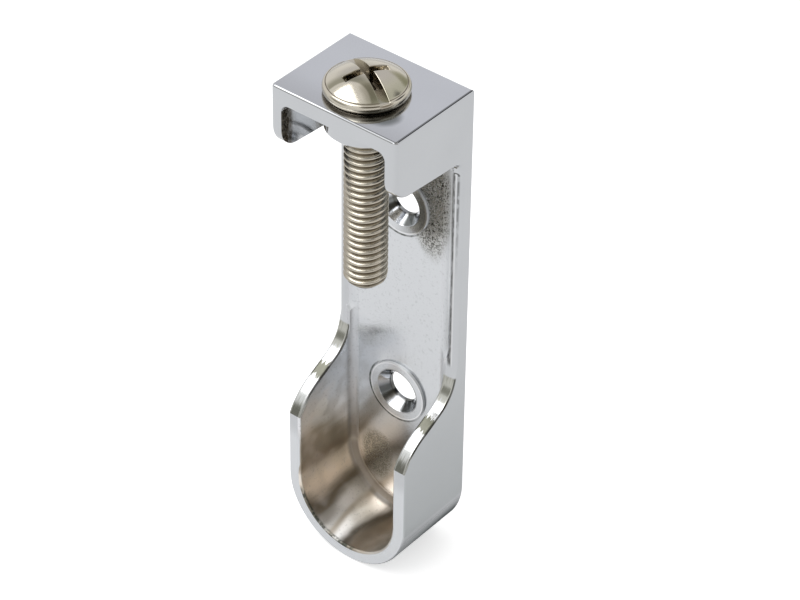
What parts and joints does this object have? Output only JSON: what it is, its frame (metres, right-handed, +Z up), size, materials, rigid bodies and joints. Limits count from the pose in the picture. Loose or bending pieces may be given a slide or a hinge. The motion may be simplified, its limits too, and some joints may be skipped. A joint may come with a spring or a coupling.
{
  "type": "wardrobe rail end support",
  "caption": "End support for a wardrobe rail: a wall plate with a round-bottomed cup, swept side walls and a top flange that carries a machine screw.",
  "frame": {"origin": "on the wall face, at the axis of the rail, which is the centre of the half-round cup", "axes": "+Y into the wall, +Z up from the cup to the flange, +X along the width"},
  "size_m": [0.0206, 0.0156, 0.0799],
  "materials": {
    "plated_casting": "bright chrome plating over a zinc die casting",
    "plated_steel": "bright nickel plating over steel"
  },
  "bodies": {
    "root": {"bracket": "plated_casting", "screw": "plated_steel"}
  },
  "joints": []
}
